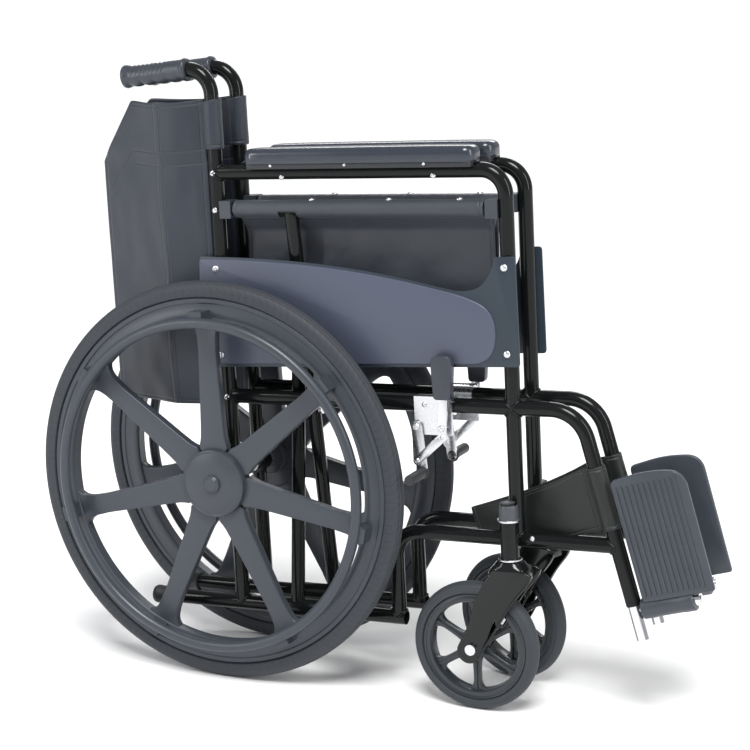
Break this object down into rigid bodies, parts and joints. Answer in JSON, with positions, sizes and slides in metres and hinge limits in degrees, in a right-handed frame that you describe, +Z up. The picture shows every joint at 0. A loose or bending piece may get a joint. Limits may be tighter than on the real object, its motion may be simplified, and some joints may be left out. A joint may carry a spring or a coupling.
{
  "type": "manual wheelchair",
  "caption": "Folding manual wheelchair with spoked rear wheels, hand rims, swivel casters, cross brace, sling seat and back, side guards, wheel locks and flip-up footplates.",
  "frame": {"origin": "centre of the footprint's bounding box at floor level, in the folded rest pose", "axes": "+X forward, +Y to the chair's left, +Z up"},
  "size_m": [1.0563, 0.276, 0.9287],
  "materials": {
    "frame_paint": "gloss",
    "zinc": "satin",
    "chrome": "polished",
    "pad": "satin",
    "guard": "satin",
    "rubber": "matte",
    "wheel_plastic": "satin",
    "fork_plastic": "satin",
    "guide_plastic": "matte",
    "tyre": "matte",
    "cloth": "woven"
  },
  "bodies": {
    "right_frame": {"right_cane": "frame_paint", "right_arm_tube": "frame_paint", "right_upper_rail": "frame_paint", "right_lower_frame": "frame_paint", "right_caster_housing": "frame_paint", "right_arm_pad": "pad", "right_side_guard": "guard", "right_grip": "rubber", "right_rear_axle": "zinc", "right_brake_bracket": "zinc"},
    "brace_a": {"brace_a": "frame_paint", "brace_bolt": "zinc", "left_seat_edge": "cloth"},
    "brace_b": {"brace_b": "frame_paint", "right_seat_edge": "cloth"},
    "left_frame": {"left_cane": "frame_paint", "left_arm_tube": "frame_paint", "left_upper_rail": "frame_paint", "left_lower_frame": "frame_paint", "left_caster_housing": "frame_paint", "left_arm_pad": "pad", "left_side_guard": "guard", "left_grip": "rubber", "left_rear_axle": "zinc", "left_brake_bracket": "zinc"},
    "right_guides": {"right_rail_guides": "guide_plastic"},
    "right_seat_panel": {"right_seat_panel": "cloth"},
    "right_back_side": {"right_back_side": "cloth"},
    "right_back_centre": {"right_back_centre": "cloth"},
    "right_calf_strap": {"right_calf_strap": "cloth"},
    "right_wheel": {"right_rear_rim": "wheel_plastic", "right_rear_tyre": "tyre", "right_handrim": "wheel_plastic"},
    "right_caster_fork": {"right_caster_fork": "fork_plastic", "right_caster_axle": "zinc"},
    "right_caster_wheel": {"right_caster_rim": "wheel_plastic", "right_caster_tyre": "tyre"},
    "right_brake_lever": {"right_brake_lever": "zinc"},
    "right_brake_link": {"right_brake_link": "zinc"},
    "right_brake_shoe": {"right_brake_shoe": "zinc"},
    "right_footrest": {"right_footrest_stem": "chrome"},
    "right_footplate": {"right_footplate": "wheel_plastic"},
    "left_guides": {"left_rail_guides": "guide_plastic"},
    "left_seat_panel": {"left_seat_panel": "cloth"},
    "left_back_side": {"left_back_side": "cloth"},
    "left_back_centre": {"left_back_centre": "cloth"},
    "left_calf_strap": {"left_calf_strap": "cloth"},
    "left_wheel": {"left_rear_rim": "wheel_plastic", "left_rear_tyre": "tyre", "left_handrim": "wheel_plastic"},
    "left_caster_fork": {"left_caster_fork": "fork_plastic", "left_caster_axle": "zinc"},
    "left_caster_wheel": {"left_caster_rim": "wheel_plastic", "left_caster_tyre": "tyre"},
    "left_brake_lever": {"left_brake_lever": "zinc"},
    "left_brake_link": {"left_brake_link": "zinc"},
    "left_brake_shoe": {"left_brake_shoe": "zinc"},
    "left_footrest": {"left_footrest_stem": "chrome"},
    "left_footplate": {"left_footplate": "wheel_plastic"}
  },
  "joints": [
    {"name": "fold", "type": "hinge", "parent": "right_frame", "child": "brace_a", "pos_m": [-0.21391, -0.0385, 0.10021], "axis": [-0.999, 0, -0.0454], "range_deg": [0, 41.33]},
    {"name": "brace_cross", "type": "hinge", "parent": "brace_a", "child": "brace_b", "pos_m": [-0.22772, 0, 0.4044], "axis": [-0.999, 0, -0.0454], "range_deg": [-82.66, 0]},
    {"name": "left_foot_pivot", "type": "hinge", "parent": "brace_b", "child": "left_frame", "pos_m": [-0.21391, 0.0385, 0.10021], "axis": [-0.999, 0, -0.0454], "range_deg": [0, 41.33]},
    {"name": "right_guide_pivot", "type": "hinge", "parent": "brace_b", "child": "right_guides", "pos_m": [-0.24153, -0.0385, 0.70858], "axis": [-0.999, 0, -0.0454], "range_deg": [0, 41.33]},
    {"name": "right_seat_hinge", "type": "hinge", "parent": "brace_b", "child": "right_seat_panel", "pos_m": [-0.24003, -0.008, 0.67553], "axis": [0.999, 0, 0.0454], "range_deg": [0, 42.68]},
    {"name": "right_back_side_hinge", "type": "hinge", "parent": "right_frame", "child": "right_back_side", "pos_m": [-0.2385, -0.0385, 0.64165], "axis": [0.0454, 0, -0.999], "range_deg": [0, 93.51]},
    {"name": "right_back_seam", "type": "hinge", "parent": "right_back_side", "child": "right_back_centre", "pos_m": [-0.32544, -0.05151, 0.6377], "axis": [-0.0454, 0, 0.999], "range_deg": [0, 29.62]},
    {"name": "right_calf_hinge", "type": "hinge", "parent": "right_frame", "child": "right_calf_strap", "pos_m": [0.36382, -0.0385, 0.32965], "axis": [0.2957, 0, -0.9553], "range_deg": [0, 76.11]},
    {"name": "right_wheel_spin", "type": "hinge", "parent": "right_frame", "child": "right_wheel", "pos_m": [-0.22321, -0.094, 0.305], "axis": [0, 1, 0], "continuous": true},
    {"name": "right_caster_swivel", "type": "hinge", "parent": "right_frame", "child": "right_caster_fork", "pos_m": [0.23468, -0.0635, 0.22969], "axis": [-0.0454, 0, 0.999], "range_deg": [-17, 197]},
    {"name": "right_caster_spin", "type": "hinge", "parent": "right_caster_fork", "child": "right_caster_wheel", "pos_m": [0.18369, -0.0635, 0.096], "axis": [0, 1, 0], "continuous": true},
    {"name": "right_brake_lever_pivot", "type": "hinge", "parent": "right_frame", "child": "right_brake_lever", "pos_m": [0.1283, -0.061, 0.41206], "axis": [0, 1, 0], "range_deg": [0, 34]},
    {"name": "right_brake_link_pivot", "type": "hinge", "parent": "right_brake_lever", "child": "right_brake_link", "pos_m": [0.12984, -0.0586, 0.40011], "axis": [0, 1, 0], "range_deg": [-35.59, 0]},
    {"name": "right_brake_shoe_pivot", "type": "hinge", "parent": "right_frame", "child": "right_brake_shoe", "pos_m": [0.08634, -0.0542, 0.41015], "axis": [0, 1, 0], "range_deg": [0, 6.71]},
    {"name": "right_footrest_height", "type": "slide", "parent": "right_frame", "child": "right_footrest", "axis": [0.2957, 0, -0.9553], "range_m": [0, 0.06]},
    {"name": "right_footplate_hinge", "type": "hinge", "parent": "right_footrest", "child": "right_footplate", "pos_m": [0.41271, -0.0385, 0.17171], "axis": [-0.9553, 0, -0.2957], "range_deg": [0, 90.01]},
    {"name": "left_guide_pivot", "type": "hinge", "parent": "brace_a", "child": "left_guides", "pos_m": [-0.24153, 0.0385, 0.70858], "axis": [0.999, 0, 0.0454], "range_deg": [0, 41.33]},
    {"name": "left_seat_hinge", "type": "hinge", "parent": "brace_a", "child": "left_seat_panel", "pos_m": [-0.24003, 0.008, 0.67553], "axis": [-0.999, 0, -0.0454], "range_deg": [0, 42.68]},
    {"name": "left_back_side_hinge", "type": "hinge", "parent": "left_frame", "child": "left_back_side", "pos_m": [-0.2385, 0.0385, 0.64165], "axis": [-0.0454, 0, 0.999], "range_deg": [0, 93.51]},
    {"name": "left_back_seam", "type": "hinge", "parent": "left_back_side", "child": "left_back_centre", "pos_m": [-0.32544, 0.05151, 0.6377], "axis": [0.0454, 0, -0.999], "range_deg": [0, 29.62]},
    {"name": "left_calf_hinge", "type": "hinge", "parent": "left_frame", "child": "left_calf_strap", "pos_m": [0.36382, 0.0385, 0.32965], "axis": [-0.2957, 0, 0.9553], "range_deg": [0, 76.11]},
    {"name": "left_wheel_spin", "type": "hinge", "parent": "left_frame", "child": "left_wheel", "pos_m": [-0.22321, 0.094, 0.305], "axis": [0, 1, 0], "continuous": true},
    {"name": "left_caster_swivel", "type": "hinge", "parent": "left_frame", "child": "left_caster_fork", "pos_m": [0.23468, 0.0635, 0.22969], "axis": [0.0454, 0, -0.999], "range_deg": [-34, 180]},
    {"name": "left_caster_spin", "type": "hinge", "parent": "left_caster_fork", "child": "left_caster_wheel", "pos_m": [0.18618, 0.08017, 0.09611], "axis": [0.2921, 0.9563, 0.0133], "continuous": true},
    {"name": "left_brake_lever_pivot", "type": "hinge", "parent": "left_frame", "child": "left_brake_lever", "pos_m": [0.1283, 0.061, 0.41206], "axis": [0, 1, 0], "range_deg": [0, 34]},
    {"name": "left_brake_link_pivot", "type": "hinge", "parent": "left_brake_lever", "child": "left_brake_link", "pos_m": [0.12984, 0.0586, 0.40011], "axis": [0, 1, 0], "range_deg": [-35.59, 0]},
    {"name": "left_brake_shoe_pivot", "type": "hinge", "parent": "left_frame", "child": "left_brake_shoe", "pos_m": [0.08634, 0.0542, 0.41015], "axis": [0, 1, 0], "range_deg": [0, 6.71]},
    {"name": "left_footrest_height", "type": "slide", "parent": "left_frame", "child": "left_footrest", "axis": [0.2957, 0, -0.9553], "range_m": [0, 0.06]},
    {"name": "left_footplate_hinge", "type": "hinge", "parent": "left_footrest", "child": "left_footplate", "pos_m": [0.41271, 0.0385, 0.17171], "axis": [0.9553, 0, 0.2957], "range_deg": [0, 90.01]}
  ],
  "couplings": [
    {"joint": "brace_cross", "follows": "fold", "ratio": -2},
    {"joint": "left_foot_pivot", "follows": "fold", "ratio": 1},
    {"joint": "right_guide_pivot", "follows": "fold", "ratio": 1},
    {"joint": "right_seat_hinge", "follows": "fold", "ratio": 1.0324},
    {"joint": "right_back_side_hinge", "follows": "fold", "ratio": 2.2623},
    {"joint": "right_back_seam", "follows": "fold", "ratio": 0.71648},
    {"joint": "right_calf_hinge", "follows": "fold", "ratio": 1.8413},
    {"joint": "right_brake_link_pivot", "follows": "right_brake_lever_pivot", "ratio": -1.0456},
    {"joint": "right_brake_shoe_pivot", "follows": "right_brake_lever_pivot", "ratio": 0.19716},
    {"joint": "right_footplate_hinge", "follows": "fold", "ratio": 2.1776},
    {"joint": "left_guide_pivot", "follows": "fold", "ratio": 1},
    {"joint": "left_seat_hinge", "follows": "fold", "ratio": 1.0324},
    {"joint": "left_back_side_hinge", "follows": "fold", "ratio": 2.2623},
    {"joint": "left_back_seam", "follows": "fold", "ratio": 0.71648},
    {"joint": "left_calf_hinge", "follows": "fold", "ratio": 1.8413},
    {"joint": "left_brake_link_pivot", "follows": "left_brake_lever_pivot", "ratio": -1.0456},
    {"joint": "left_brake_shoe_pivot", "follows": "left_brake_lever_pivot", "ratio": 0.19716},
    {"joint": "left_footplate_hinge", "follows": "fold", "ratio": 2.1776}
  ]
}
